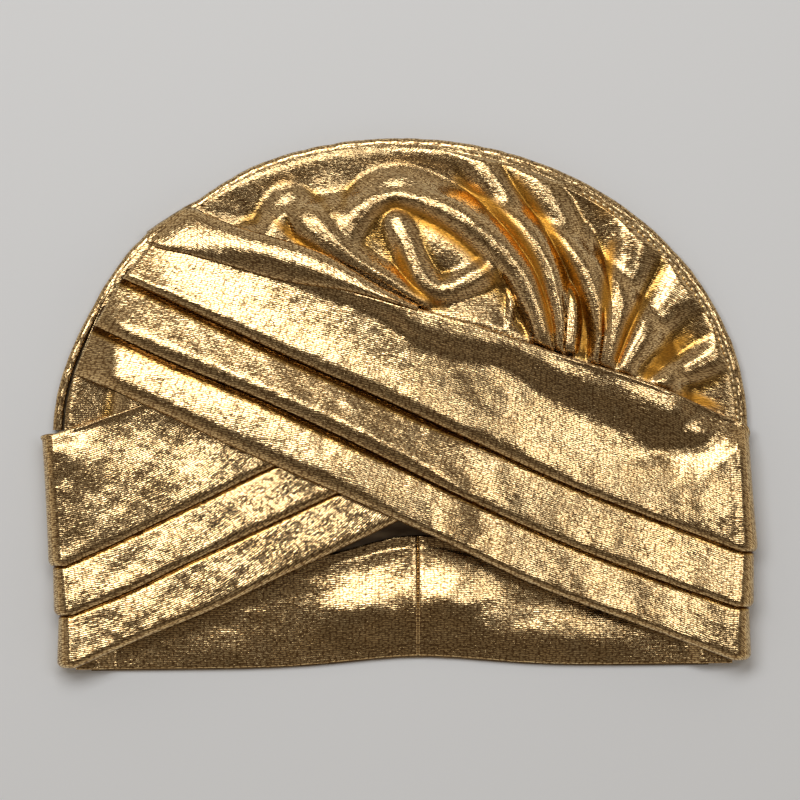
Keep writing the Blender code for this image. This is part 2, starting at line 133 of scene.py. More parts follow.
# The foil's loops and how uneven it is
LOOP_LENGTH = 0.00120
LOOP_WIDTH = 0.00070
LOOP_SWELL = 0.00003
LOOP_LEAN = 0.00006
ROW_HEIGHT = 0.000008
GRAIN_HEIGHT = 0.00004
CRUMPLE_HEIGHT = 0.00016
RIB_HEIGHT = 0.0003
GAP_SHADE = 0.85
ROW_SHADE = 0.80

# Colours of the foil, its painted shade in folds and painted reflection in the crown's valleys, the yarn
# under it, the thread, the inside, the floor and the room
FOIL_DARKER = (0.95, 0.68, 0.33, 1)
FOIL_LIGHTER = (1.0, 0.79, 0.45, 1)
# Painted shade: the foil's colour in folds and the crown's valleys, darker and more orange
FOIL_FOLD_SHADE = (0.74, 0.47, 0.14, 1)
# Painted reflection: orange light bounced into the crown's valleys by the gold cloth around them
FOIL_BOUNCE_PAINTED = (0.74, 0.36, 0.05, 1)
# Painted shade: the foil's colour, near black, deepest under a fold
FOIL_DEEP_SHADE = (0.03, 0.010, 0.002, 1)
YARN = (0.15, 0.060, 0.010, 1)
YARN_BARE = (0.036, 0.012, 0.002, 1)
THREAD_DARKER = (0.80, 0.55, 0.22, 1)
THREAD_LIGHTER = (1.0, 0.88, 0.60, 1)
INSIDE_DARKER = (0.16, 0.11, 0.065, 1)
INSIDE_LIGHTER = (0.34, 0.25, 0.15, 1)
FLOOR = (0.80, 0.84, 0.90, 1)
ROOM_LOW = (1.0, 0.92, 0.80, 1)
ROOM_HIGH = (1.0, 0.80, 0.60, 1)

# One pixel of the photograph, its side, and the pixel that lies over the cap's middle
PIXEL = 0.00036
IMAGE_SIDE = 800
MIDDLE_PX = 400.0
MIDDLE_PY = 406.0

# Lines of the top wrap, from the crown's seam (0) to the right side roll (1), in
# shares of CAP_LENGTH
OVER_LINES = table(
    "station top fold_1 fold_2 edge",
    (0.00, 0.314, 0.234, 0.148, 0.059),
    (0.12, 0.283, 0.169, 0.080, -0.006),
    (0.25, 0.242, 0.099, 0.015, -0.083),
    (0.40, 0.198, 0.021, -0.069, -0.164),
    (0.55, 0.154, -0.059, -0.158, -0.247),
    (0.70, 0.097, -0.139, -0.241, -0.336),
    (0.85, 0.045, -0.208, -0.313, -0.406),
    (1.00, -0.026, -0.273, -0.376, -0.475),
)
OVER_ENDS = table(
    "line seam_degrees side",
    ("top", 137.0, 0.985),
    ("fold_1", 147.0, 1.000),
    ("fold_2", 158.0, 0.987),
    ("edge", 168.6, 0.980),
)

# The same lines of the lower wrap, from the left side roll (0) to its hidden end (1)
UNDER_LINES = table(
    "station top fold_1 fold_2 edge",
    (0.00, -0.050, -0.300, -0.392, -0.490),
    (0.20, -0.035, -0.258, -0.346, -0.432),
    (0.40, -0.018, -0.213, -0.292, -0.378),
    (0.60, -0.002, -0.168, -0.240, -0.314),
    (0.80, 0.018, -0.122, -0.188, -0.252),
    (1.00, 0.038, -0.082, -0.136, -0.186),
)
UNDER_ENDS = table(
    "line side inner_x",
    ("top", 1.011, -0.600),
    ("fold_1", 0.981, -0.236),
    ("fold_2", 0.965, -0.084),
    ("edge", 0.957, 0.080),
)

# Small pleat of the crown over the top wrap's upper left edge: its crest and its
# lower fold, x in shares of HALF, heights in shares of CAP_LENGTH
TOP_PLEAT = table(
    "x upper lower",
    (-0.700, 0.322, 0.305),
    (-0.655, 0.340, 0.294),
    (-0.585, 0.362, 0.284),
    (-0.525, 0.346, 0.273),
    (-0.444, 0.325, 0.257),
    (-0.330, 0.303, 0.235),
    (-0.220, 0.280, 0.223),
    (-0.130, 0.249, 0.214),
    (-0.050, 0.219, 0.200),
    (0.050, 0.186, 0.180),
)

# Height in millimetres of the crown's cloth towards its edge: it sinks into a hollow
# and comes up again before it goes down to the seam
RIM_PROFILE = table(
    "share height",
    (0.600, 10.15),
    (0.700, 9.60),
    (0.780, 8.80),
    (0.820, 7.40),
    (0.850, 5.20),
    (0.870, 4.65),
    (0.900, 4.80),
    (0.940, 5.20),
    (0.970, 5.50),
    (0.985, 5.40),
    (1.000, 4.80),
)

# Stretch of the crown's edge with a row of stitches, in degrees round it
STITCH_FROM = 58.0
STITCH_TO = 1.0

# Line where the gathers go in under the wrap
GATHER_EDGE = table(
    "x y",
    (-0.950, 0.300),
    (-0.633, 0.348),
    (-0.469, 0.330),
    (-0.278, 0.292),
    (-0.056, 0.231),
    (0.080, 0.172),
    (0.294, 0.140),
    (0.425, 0.101),
    (0.708, 0.043),
    (0.950, -0.026),
)

# How the crown's cloth runs from that line to its sewn edge: start in shares of HALF,
# end in degrees round the crown, bow as a share of the length, runs to the next row
CROWN_RUNS = table(
    "edge_x rim_degrees bow runs",
    (-0.930, 180.0, 0.00, 16),
    (-0.800, 158.0, 0.00, 20),
    (-0.660, 137.0, 0.00, 42),
    (-0.300, 120.0, 0.00, 52),
    (0.080, 107.0, 0.10, 44),
    (0.391, 95.0, 0.15, 30),
    (0.450, 77.0, 0.09, 34),
    (0.550, 66.0, 0.09, 36),
    (0.580, 46.0, 0.00, 32),
    (0.620, 30.0, -0.04, 28),
    (0.735, 14.0, -0.03, 22),
    (0.930, 0.0, 0.00, 1),
)
HIDDEN_STEPS = 8
SHOWN_STEPS = 104

# Folds of the gathered crown. Each is a crest line through points in photograph
# pixels, with its height in millimetres and its half width in pixels on the left and
# on the right, seen from its first point
FOLDS = {
    "loop_arm": (
        (424, 303, 5.0, 5, 5), (392, 284, 6.5, 8, 7), (364, 268, 7.0, 10, 8),
        (340, 251, 7.2, 12, 9), (320, 229, 7.0, 13, 10), (303, 212, 6.2, 12, 10),
        (288, 206, 5.2, 10, 10), (277, 214, 4.2, 9, 9), (273, 228, 2.8, 8, 8),
    ),
    "plateau": (
        (346, 246, 3.5, 9, 9), (338, 228, 4.6, 13, 12), (333, 212, 3.4, 14, 12),
        (330, 198, 1.2, 14, 12),
    ),
    "arc": (
        (543, 342, 8.0, 7, 7), (539, 318, 8.6, 8, 8), (531, 297, 9.0, 9, 9),
        (518, 273, 9.2, 10, 10), (497, 247, 9.2, 11, 10), (470, 224, 9.0, 11, 10),
        (446, 207, 8.6, 11, 10), (420, 193, 8.0, 11, 10), (396, 187, 7.4, 11, 10),
        (376, 193, 6.6, 11, 10), (362, 208, 5.8, 10, 10), (352, 224, 4.6, 9, 9),
        (347, 238, 3.0, 8, 8),
    ),
    "inner_arm": (
        (486, 270, 6.0, 8, 8), (470, 280, 6.4, 8, 9), (452, 289, 6.2, 8, 9), (436, 290, 6.0, 9, 9),
        (422, 279, 6.0, 9, 9), (413, 260, 5.8, 8, 9), (405, 240, 5.2, 8, 9), (397, 224, 3.6, 8, 9),
    ),
    "inner_lobe": (
        (462, 262, 3.0, 12, 12), (446, 250, 3.0, 14, 13), (430, 238, 2.4, 12, 12),
        (417, 228, 1.4, 10, 10),
    ),
    "under_arm": (
        (486, 326, 2.4, 12, 12), (456, 310, 2.6, 11, 11), (430, 298, 1.8, 8, 8),
    ),
    "second": (
        (562, 346, 8.0, 6, 6), (561, 322, 8.4, 7, 6), (556, 295, 8.6, 8, 7), (545, 264, 8.4, 9, 8),
        (527, 233, 7.8, 9, 9), (508, 205, 6.8, 10, 9), (490, 182, 5.2, 10, 10),
        (476, 160, 2.8, 10, 10), (468, 148, 1.0, 10, 10),
    ),
    "second_small": (
        (571, 350, 6.0, 3, 3), (573, 324, 6.0, 3.5, 3.5), (572, 302, 4.6, 4, 4),
        (566, 288, 2.4, 4, 4),
    ),
    "third": (
        (598, 362, 7.6, 6, 5), (601, 336, 8.0, 6, 5), (598, 310, 8.0, 7, 6), (590, 282, 7.8, 8, 6),
        (576, 252, 7.2, 9, 8), (558, 222, 6.4, 10, 10), (540, 195, 5.0, 11, 12),
        (524, 174, 3.0, 11, 14), (512, 162, 1.2, 10, 14),
    ),
    "third_small": (
        (606, 330, 5.5, 3.5, 3), (605, 306, 6.0, 4, 4), (600, 280, 5.6, 4, 4),
        (590, 254, 4.2, 5, 5), (580, 234, 2.2, 6, 6),
    ),
    "fourth": (
        (606, 366, 6.0, 6, 6), (610, 342, 6.0, 8, 8), (617, 312, 5.8, 10, 10),
        (626, 283, 5.4, 12, 11), (633, 255, 4.6, 14, 12), (633, 232, 3.4, 14, 13),
        (626, 214, 1.6, 13, 13),
    ),
    "fifth": (
        (622, 373, 5.6, 6, 6), (636, 347, 5.6, 8, 8), (654, 321, 5.2, 11, 11),
        (671, 301, 4.2, 13, 12), (686, 288, 2.6, 14, 13), (696, 280, 1.2, 13, 13),
    ),
    "sixth": (
        (662, 384, 5.4, 6, 6), (684, 372, 5.4, 8, 8), (706, 360, 4.4, 9, 9), (722, 350, 2.6, 9, 9),
        (732, 344, 1.0, 9, 9),
    ),
    "rim_swell": (
        (650, 232, 2.4, 7, 9), (622, 208, 2.2, 7, 9), (584, 185, 2.0, 7, 9), (545, 168, 1.6, 7, 9),
    ),
}

# Valleys of the crown whose colour is painted orange as painted reflection of the light that
# the cloth around bounces into them: points in photograph pixels, how strong in thousandths, half width
# in pixels
PAINTED_BOUNCE = {
    "under_loop": ((276, 222, 300, 5), (295, 238, 620, 6), (316, 250, 640, 6), (352, 271, 300, 4)),
    "beside_inner": ((397, 246, 300, 5), (403, 266, 620, 7), (415, 289, 620, 7), (444, 308, 300, 6)),
    "inside_arc": ((372, 214, 250, 7), (398, 208, 420, 8), (436, 226, 560, 9), (470, 252, 450, 8),
                   (496, 284, 300, 7)),
    "streak_left": ((256, 188, 100, 6), (284, 180, 260, 8), (308, 175, 100, 6)),
    "streak_middle": ((352, 163, 100, 6), (404, 160, 240, 7), (446, 168, 220, 8)),
    "beyond_arc": ((456, 178, 350, 8), (486, 202, 560, 9), (514, 234, 600, 9), (536, 270, 600, 7),
                   (550, 330, 500, 5)),
    "beyond_second": ((516, 182, 450, 9), (536, 212, 600, 9), (560, 250, 560, 7), (580, 292, 500, 5),
                      (584, 350, 450, 5)),
    "brown_flat": ((588, 190, 150, 10), (604, 212, 300, 12)),
    "beside_fourth": ((612, 244, 400, 7), (606, 284, 560, 7), (602, 330, 500, 5)),
    "beside_fifth": ((642, 296, 300, 6), (630, 322, 600, 7), (616, 358, 560, 5)),
    "beside_sixth": ((690, 334, 300, 8), (668, 352, 620, 9), (646, 376, 560, 6)),
    "last": ((676, 396, 450, 6), (700, 401, 600, 8), (722, 408, 300, 6)),
}

# Creases where the cloth is folded sharply in on itself: points in photograph pixels,
# depth in millimetres, half width in pixels
CREASES = {
    "arc_foot": ((505, 280, 1.0, 2.5), (511, 300, 3.0, 2.5), (508, 322, 3.0, 2.5), (505, 336, 2.0, 2.5)),
    "second_foot": ((562, 296, 1.0, 1.8), (565, 318, 2.5, 1.8), (563, 350, 2.5, 1.8)),
    "third_foot": ((602, 312, 1.0, 1.8), (602, 336, 2.5, 1.8), (598, 364, 2.5, 1.8)),
}

# The back's lower edge and the nape band's free edge
HEM = table("level tilt rise middle spread", (-0.489, 0.007, 0.019, 0.05, 0.26))[0]
NAPE_TOP = table("level tilt rise middle spread", (-0.293, 0.0, 0.052, 0.05, 0.23))[0]

# Swellings of the nape band, in photograph pixels and millimetres
NAPE_DENTS = table(
    "x y across along height",
    (374, 614, 42, 36, 3.6),
    (450, 602, 36, 36, 3.5),
    (550, 650, 80, 32, 3.2),
    (225, 662, 30, 22, 1.6),
)

# How a pleat rounds off towards its fold: distance from the fold as a share of the
# tuck, drop as a share of the fold's height, and how much painted shade its colour gets there
FOLD_ROUNDING = table(
    "back drop deep",
    (0.60, 0.00, 0.0),
    (0.50, 0.02, 0.0),
    (0.41, 0.08, 0.0),
    (0.32, 0.17, 0.0),
    (0.23, 0.30, 0.0),
    (0.15, 0.45, 0.0),
    (0.08, 0.62, 0.1),
    (0.03, 0.80, 0.3),
    (0.01, 0.92, 0.6),
)

# Soft hollows and swellings of the top wrap, in photograph pixels and millimetres
OVER_DENTS = table(
    "x y across along height",
    (664, 452, 34, 13, -1.3),
    (700, 432, 16, 11, 1.3),
    (676, 408, 16, 14, 0.9),
    (735, 455, 20, 22, 0.5),
)

# The same of the lower wrap
UNDER_DENTS = table("x y across along height", (85, 400, 70, 62, 2.4))

# Waves of the uneven cloths: height and wavelength in metres, seed
UNEVEN = {
    "crown": table("height wavelength seed", (0.00006, 0.014, 3), (0.00002, 0.0050, 4)),
    "under": table("height wavelength seed", (0.00016, 0.028, 21), (0.00005, 0.0075, 22)),
    "nape": table("height wavelength seed", (0.00010, 0.022, 41), (0.00005, 0.007, 42)),
}

# Section of the small pleat: the way down from its upper to its lower line as a share,
# and its height in layers
PLEAT_SECTION = table(
    "down layers",
    (-0.10, 0.1),
    (0.00, 0.9),
    (0.12, 1.5),
    (0.35, 1.9),
    (0.65, 2.2),
    (0.90, 2.3),
    (1.00, 2.1),
    (1.03, 1.8),
    (1.00, 1.5),
    (0.80, 1.3),
)

# Soft lights: middle and size in metres, power in watts, colour
LIGHTS = table(
    "name place size watts colour",
    ("key", (-0.26, 0.57, 1.20), (1.04, 0.50), 8.6, (1.0, 0.98, 0.94)),
    ("side", (0.44, 0.22, 1.20), (0.26, 0.42), 1.4, (1.0, 0.98, 0.95)),
)

# Where the crown's outline is a little flattened: middle and spread in degrees round
# it, and by what share of its reach
FLATTENED = table(
    "degrees spread share",
    (156.0, 16.0, 0.020),
    (126.0, 8.0, 0.018),
)


def smooth(t):
    """0 below 0, 1 above 1, and a soft step between."""
    t = np.clip(t, 0.0, 1.0)
    return t * t * (3 - 2 * t)


def along(rows, value, column):
    """One column of a table at values of its first column, on a smooth curve."""
    keys = np.array([row[0] for row in rows], float)
    heights = np.array([getattr(row, column) for row in rows], float)
    value = np.asarray(value, float)
    last = len(rows) - 1
    i = np.clip(np.searchsorted(keys, value, side="right"), 1, last)
    span = keys[i] - keys[i - 1]
    t = np.clip((value - keys[i - 1]) / span, 0.0, 1.0)
    before, after = np.maximum(i - 2, 0), np.minimum(i + 1, last)
    lead = (heights[i] - heights[before]) / (keys[i] - keys[before]) * span
    tail = (heights[after] - heights[i - 1]) / (keys[after] - keys[i - 1]) * span
    return (
        heights[i - 1] * (2 * t**3 - 3 * t**2 + 1)
        + lead * (t**3 - 2 * t**2 + t)
        + heights[i] * (3 * t**2 - 2 * t**3)
        + tail * (t**3 - t**2)
    )


def ripples(x, y, wavelength, seed, count=9):
    """A smooth irregular field from about -1 to 1, with waves of about one length."""
    dice = np.random.default_rng(seed)
    total = np.zeros(np.broadcast(x, y).shape)
    for _ in range(count):
        turn = dice.uniform(0, 2 * math.pi)
        wave = 2 * math.pi / (wavelength * dice.uniform(0.7, 1.4))
        shift = dice.uniform(0, 2 * math.pi)
        total += np.sin(wave * (x * math.cos(turn) + y * math.sin(turn)) + shift)
    return total / math.sqrt(count)


def uneven(cloth, x, y):
    """How uneven a cloth lies."""
    return sum(row.height * ripples(x, y, row.wavelength, row.seed) for row in UNEVEN[cloth])


def crown_point(degrees, inset):
    """A point on the crown's half round outline, set in from it."""
    degrees = np.asarray(degrees, float)
    reach = 1.0
    for flat in FLATTENED:
        reach = reach - flat.share * np.exp(-(((degrees - flat.degrees) / flat.spread) ** 2))
    angle = np.radians(degrees)
    return (
        (CROWN_HALF * reach - inset) * np.cos(angle),
        CROWN_BASE_Y + (CROWN_RISE * reach - inset) * np.sin(angle),
    )


def crown_share(x, y, edge=CROWN_EDGE):
    """0 in the middle of the crown's foot and 1 at the crown's sewn edge, which lies
    that far in from the outline."""
    above = np.maximum(y - CROWN_BASE_Y, 0.0)
    share = np.hypot(x / (CROWN_HALF - edge), above / (CROWN_RISE - edge))
    return np.minimum(share, 1.0)


def roof(x, y, band, edge=CROWN_EDGE):
    """Height of the hollow's roof, with band 1 under the wraps, with band 0 under
    the crown."""
    inner = 1 - crown_share(x, y) ** 6
    side = band * smooth((CROWN_BASE_Y + SIDE_BLEND / 3 - y) / (SIDE_BLEND * (1 + 2 * inner)))
    rim = (SEAM_Z - SOLID_WALL / 2) * (1 - side) + SIDE_RISE * side
    share = crown_share(x, y, edge) * (1 - 0.03 * side)
    return rim + (HOLLOW_HEIGHT - rim) * (1 - share**2.2) ** 0.6


def above_edge(x, y):
    """How far a point is above the line where the gathers go in under the wrap."""
    return y - CAP_LENGTH * along(GATHER_EDGE, x / HALF, "y")


def lift_here(x):
    """The gathers' height at the wrap's edge, which fades out to both sides."""
    return EDGE_LIFT * smooth((x / HALF + 0.62) / 0.25) * smooth((0.86 - x / HALF) / 0.16)


def edge_lift(x, y):
    """How much the gathers underneath raise the wrap near its top edge."""
    ease = LIFT_EASE * (1 + 0.8 * smooth((x / HALF - 0.25) / 0.35))
    return lift_here(x) * (1 - smooth((-above_edge(x, y) - LIFT_REACH) / ease))


def bed(x, y):
    """Middle of the lowest layer of a wrap that lies on the crown or the hollow."""
    steep = crown_share(x, y) ** 8
    return roof(x, y, 1) + LAYER * (1 + 0.8 * steep) + SOLID_WALL / 2


def from_photo(px, py):
    """A place on the cap from its pixel in the photograph."""
    return (px - MIDDLE_PX) * PIXEL, (MIDDLE_PY - py) * PIXEL


def through(points, steps):
    """Rows on a smooth curve through rows of numbers, the first two columns of which
    are the place."""
    points = np.array(points, float)
    padded = np.vstack([2 * points[0] - points[1], points, 2 * points[-1] - points[-2]])
    out = []
    for i in range(1, len(padded) - 2):
        a, b, c, d = padded[i - 1 : i + 3]
        for t in np.arange(steps) / steps:
            out.append(
                0.5
                * (
                    2 * b
                    + (c - a) * t
                    + (2 * a - 5 * b + 4 * c - d) * t**2
                    + (3 * b - a - 3 * c + d) * t**3
                )
            )
    out.append(points[-1])
    return np.array(out)


def nearest(curve, x, y):
    """Signed distance from places to a curve, left being positive, and the curve's
    other columns there."""
    best = np.full(x.shape, np.inf)
    side = np.ones(x.shape)
    rest = np.ones(x.shape + (curve.shape[1] - 2,))
    for a, b in zip(curve, curve[1:]):
        dx, dy = b[0] - a[0], b[1] - a[1]
        t = ((x - a[0]) * dx + (y - a[1]) * dy) / max(dx * dx + dy * dy, 1e-12)
        t = np.clip(t, 0.0, 1.0)
        ox, oy = x - a[0] - t * dx, y - a[1] - t * dy
        away = np.hypot(ox, oy)
        closer = away < best
        best = np.where(closer, away, best)
        side = np.where(closer, np.sign(dx * oy - dy * ox), side)
        here = a[2:] + (b[2:] - a[2:]) * t[..., None]
        rest = np.where(closer[..., None], here, rest)
    return best * np.where(side == 0, 1, side), rest


def crest_curve(rows):
    """A fold's curve in metres from its rows in pixels and millimetres."""
    rows = np.array(rows, float)
    x, y = from_photo(rows[:, 0], rows[:, 1])
    return through(np.column_stack([x, y, rows[:, 2] / 1000, rows[:, 3:] * PIXEL]), steps=5)


def around(curve, x, y, reach):
    """Which places lie near a curve, and their distance and the curve's columns."""
    low, high = curve[:, :2].min(axis=0) - reach, curve[:, :2].max(axis=0) + reach
    near = (x > low[0]) & (x < high[0]) & (y > low[1]) & (y < high[1])
    away, rest = nearest(curve, x[near], y[near])
    return near, away, rest


def folds(x, y):
    """Height of the crown's folds above the hollow's roof."""
    total = np.zeros(x.shape)
    for rows in FOLDS.values():
        curve = crest_curve(rows)
        near, away, rest = around(curve, x, y, 3 * curve[:, 3:].max())
        width = np.where(away > 0, rest[:, 1], rest[:, 2])
        out = np.minimum(np.abs(away) / (FOLD_SPREAD * width), 1.0)
        dip = CREST_DIP * np.exp(-((out / CREST_DIP_WIDTH) ** 2))
        profile = np.maximum((1 + np.cos(math.pi * out)) / 2 - dip, 0)
        total[near] += (FOLD_SCALE * rest[:, 0] * profile) ** FOLD_POWER
    height = total ** (1 / FOLD_POWER)
    for rows in CREASES.values():
        curve = crest_curve(rows)
        near, away, rest = around(curve, x, y, 3 * curve[:, 3].max())
        height[near] -= rest[:, 0] * np.exp(-((away / rest[:, 1]) ** 2))
    return height


def painted_bounce(x, y):
    """How strongly the crown's cloth is painted orange in its valleys as painted bounce light, from 0 to
    1.
    """
    most = np.zeros(x.shape)
    for rows in PAINTED_BOUNCE.values():
        curve = crest_curve(rows)
        near, away, rest = around(curve, x, y, 3 * curve[:, 3].max())
        most[near] = np.maximum(most[near], rest[:, 0] * np.exp(-((away / rest[:, 1]) ** 2)))
    return most


def covered_edge(x):
    """How far in from the outline the crown's cloth ends: short of the rolled seam at
    the left, and on top of it elsewhere."""
    return CROWN_EDGE - ROLL_COVER * smooth((x / HALF + 0.90) / 0.12)


def crown_height(x, y):
    """Middle of the crown's cloth."""
    shown = above_edge(x, y)
    raw = folds(x, y)
    near_edge = FOOT_FILL * lift_here(x) * smooth(1 + shown / LIFT_REACH)
    near_edge = near_edge + GATHER_CLIMB * np.maximum(shown, 0)
    near_seam = GATHER_MOST * np.minimum((1 - crown_share(x, y)) / SEAM_CALM, 1.0)
    most = np.maximum(np.minimum(near_edge, near_seam), 1e-6)
    gathered = most * np.tanh(raw / most)
    fine = uneven("crown", x, y)
    foot = FOOT_SWELL * lift_here(x) * (1 - smooth(np.abs(shown + 0.001) / FOOT_REACH))
    gathered = np.hypot(gathered, foot)
    edge = covered_edge(x)
    share = crown_share(x, y, edge)
    outer = along(RIM_PROFILE, share, "height") / 1000
    top = roof(x, y, 0, edge) + SOLID_WALL / 2
    top = top + (outer - top) * smooth((share - RIM_PROFILE[0].share) / 0.06)
    return top + gathered + fine * smooth(shown / 0.004)


def add_mesh(name, vertices, faces, uv=None, marks=None):
    """A named mesh object, smooth, with a UV place and named values at its points."""
    mesh = bpy.data.meshes.new(name)
    mesh.from_pydata([tuple(p) for p in vertices], [], faces)
    mesh.update()
    if uv is not None:
        layer = mesh.uv_layers.new(name="cloth")
        corners = np.empty(len(mesh.loops), np.int32)
        mesh.loops.foreach_get("vertex_index", corners)
        layer.data.foreach_set("uv", np.asarray(uv, np.float32)[corners].ravel())
    for key, values in (marks or {}).items():
        mark = mesh.attributes.new(key, "FLOAT", "POINT")
        mark.data.foreach_set("value", np.asarray(values, np.float32))
    thing = bpy.data.objects.new(name, mesh)
    bpy.context.scene.collection.objects.link(thing)
    mesh.shade_smooth()
    return thing


def grid_faces(count, across, flip):
    """Four-sided faces between the rows of a grid of points."""
    i, j = np.meshgrid(np.arange(count - 1), np.arange(across - 1), indexing="ij")
    a = (i * across + j).ravel()
    faces = np.column_stack([a, a + 1, a + across + 1, a + across])
    return (faces[:, ::-1] if flip else faces).tolist()


def spread(points):
    """Place of each point of a grid on the flat cloth: how far along its row and how
    far across the rows it is."""
    along_row = np.linalg.norm(np.diff(points, axis=1), axis=2)
    v = np.concatenate([np.zeros((len(points), 1)), np.cumsum(along_row, axis=1)], axis=1)
    across = np.linalg.norm(np.diff(points, axis=0), axis=2)
    step = np.median(across, axis=1)
    u = np.concatenate([[0.0], np.cumsum(step)])
    return np.stack([np.broadcast_to(u[:, None], v.shape), v], axis=2)


def cloth_sheet(name, points, flip, marks=None):
    """A cloth wall through a grid of points, with its middle on the grid."""
    rows, across = points.shape[:2]
    marks = {key: value.ravel() for key, value in (marks or {}).items()}
    faces, uv = grid_faces(rows, across, flip), spread(points).reshape(-1, 2)
    thing = add_mesh(name, points.reshape(-1, 3), faces, uv, marks)
    thick = thing.modifiers.new("wall", "SOLIDIFY")
    thick.thickness = CLOTH
    thick.offset = 0
    return thing


def refine(points, cell):
    """A grid's rows with more points between the given ones, about a cell apart."""
    lengths = np.linalg.norm(np.diff(points[..., :3], axis=1), axis=2).mean(axis=0)
    out = []
    for i, length in enumerate(lengths):
        count = max(1, int(round(length / cell)))
        for step in range(count):
            t = step / count
            out.append(points[:, i] * (1 - t) + points[:, i + 1] * t)
    out.append(points[:, -1])
    return np.stack(out, axis=1)


def soften(points, passes):
    """A grid's rows with their corners rounded."""
    for _ in range(passes):
        inner = (points[:, :-2] + 2 * points[:, 1:-1] + points[:, 2:]) / 4
        points = np.concatenate([points[:, :1], inner, points[:, -1:]], axis=1)
    return points


def fold_section(lines, crisp):
    """The zigzag of a pleated wrap at many stations, as (x, y, lift, painted shade) points.

    lines holds the flat places of the top edge, each fold and the lower edge at each
    station. The section starts with the top edge's hem. A pleat's face comes up from
    under the pleat above it, slopes up over the tuck of the pleat below it, rounds off
    and turns under at its fold, and the last one turns under into the lower hem. The
    last column is 1 where the cloth lies under a fold, and darkens its colour there as
    painted shade. crisp has a column for each pleat, with 1 at stations where it is
    pressed flat, as on the cap's sides.
    """
    fold_radius = LAYER / 2
    edge_in = fold_radius + SOLID_WALL / 2
    last = lines.shape[1] - 1
    widths = [None] + [
        np.linalg.norm(lines[:, k] - lines[:, k - 1], axis=1) for k in range(1, last + 1)
    ]
    points = []

    def add(xy, layer, deep):
        lift = np.broadcast_to(layer * LAYER, len(lines))
        points.append(np.column_stack([xy, lift, np.full(len(lines), deep)]))

    def place(k, back, layer, deep=0.0):
        a, b = lines[:, k - 1], lines[:, k]
        t = (back / widths[k])[:, None]
        add(b + (a - b) * t, layer, deep)

    top = widths[1] - edge_in
    hem = np.minimum(HEM_TUCK, 0.3 * widths[1])
    place(1, top - hem, 0, 1)
    place(1, top, 0, 1)
    for i in range(1, 6):
        angle = math.pi * i / 6
        place(1, top + fold_radius * math.sin(angle), (1 - math.cos(angle)) / 2)
    for k in range(1, last + 1):
        wide = widths[k]
        tuck = np.minimum(PLEAT_TUCK, (0.25 if k == 1 else 0.45) * wide)
        flat = crisp[:, k - 1]
        peak = FOLD_LAYERS if k < last else EDGE_LAYERS
        peak = peak + (FLAT_LAYERS - peak) * flat
        under = 0.75 - 0.35 * flat if k < last else 0.0
        start, low, bend = top, 0.35 + 0.65 * (1 - flat), 0.6
        if k > 1:
            rise = np.minimum(PLEAT_RISE, 0.14 * wide) * (1 - 0.7 * flat)
            low = 0.75 - 0.40 * flat
            place(k, wide - 0.10 * rise, 0.03, 1.0)
            place(k, wide - 0.55 * rise, 0.55 * low, 1.0)
            place(k, wide - 0.85 * rise, 0.85 * low, 0.7)
            start, bend = wide - 1.2 * rise, 0.0
        finish = FOLD_ROUNDING[0].back * tuck * (1 - 0.62 * flat) + SOLID_WALL / 2
        for step in range(10):
            t = step / 10
            way = t * (1 - bend) + t * t * bend
            place(k, start + (finish - start) * t, low + (peak - low) * way)
        for row in FOLD_ROUNDING:
            back = row.back * tuck * (1 - 0.62 * flat) + SOLID_WALL / 2
            place(k, back, peak - row.drop * (peak - under), row.deep)
        place(k, edge_in, under, 1)
        if k < last:
            place(k, tuck, 1, 1)
            a, b = lines[:, k], lines[:, k + 1]
            back = np.minimum(tuck, 0.45 * widths[k + 1]) / widths[k + 1]
            add(a - (b - a) * back[:, None], 0, 1)
        else:
            place(k, HEM_TUCK, 0, 1)
    return np.stack(points, axis=1)


def side_start(share):
    """Where a side roll starts, so that its outer layer reaches the cap's side."""
    return HALF * share - ROLL_RADIUS - 2 * LAYER - SOLID_WALL / 2


def over_lines(station):
    """Flat places of the top wrap's lines at stations."""
    lines = []
    for end in OVER_ENDS:
        left_x, left_y = crown_point(end.seam_degrees, SEAM_WIDTH + 2 * GAP)
        x = left_x + (side_start(end.side) - left_x) * station
        y = CAP_LENGTH * along(OVER_LINES, station, end.line)
        off_seam = left_y - CAP_LENGTH * getattr(OVER_LINES[0], end.line)
        lines.append(np.column_stack([x, y + off_seam * (1 - smooth(station / 0.3))]))
    return np.stack(lines, axis=1)


def under_lines(station):
    """Flat places of the lower wrap's lines at stations."""
    lines = []
    for end in UNDER_ENDS:
        left_x = -side_start(end.side)
        x = left_x + (HALF * end.inner_x - left_x) * station
        lines.append(np.column_stack([x, CAP_LENGTH * along(UNDER_LINES, station, end.line)]))
    return np.stack(lines, axis=1)


def over_edge_y(x):
    """Height of the top wrap's lower edge above places on the x axis."""
    end = OVER_ENDS[-1]
    left_x = crown_point(end.seam_degrees, SEAM_WIDTH)[0]
    station = (x - left_x) / (side_start(end.side) - left_x)
    return CAP_LENGTH * along(OVER_LINES, station, end.line)


def crossing_rise(x, y):
    """How much the lower wrap raises the top wrap where they cross."""
    inside = 1 - smooth((y - over_edge_y(x) - UNDER_END_REACH / 2) / CROSSING_EASE)
    right = 1 - smooth((x - HALF * UNDER_ENDS[-1].inner_x) / CROSSING_END_EASE)
    left = smooth((x + HALF * 0.90) / LEFT_EASE)
    return 3 * LAYER * inside * right * left


def dents(rows, x, y):
    """Soft hollows and swellings from a table."""
    total = np.zeros(x.shape)
    for row in rows:
        cx, cy = from_photo(row.x, row.y)
        across, up = (x - cx) / (row.across * PIXEL), (y - cy) / (row.along * PIXEL)
        total += row.height / 1000 * np.exp(-(across**2) - up**2)
    return total


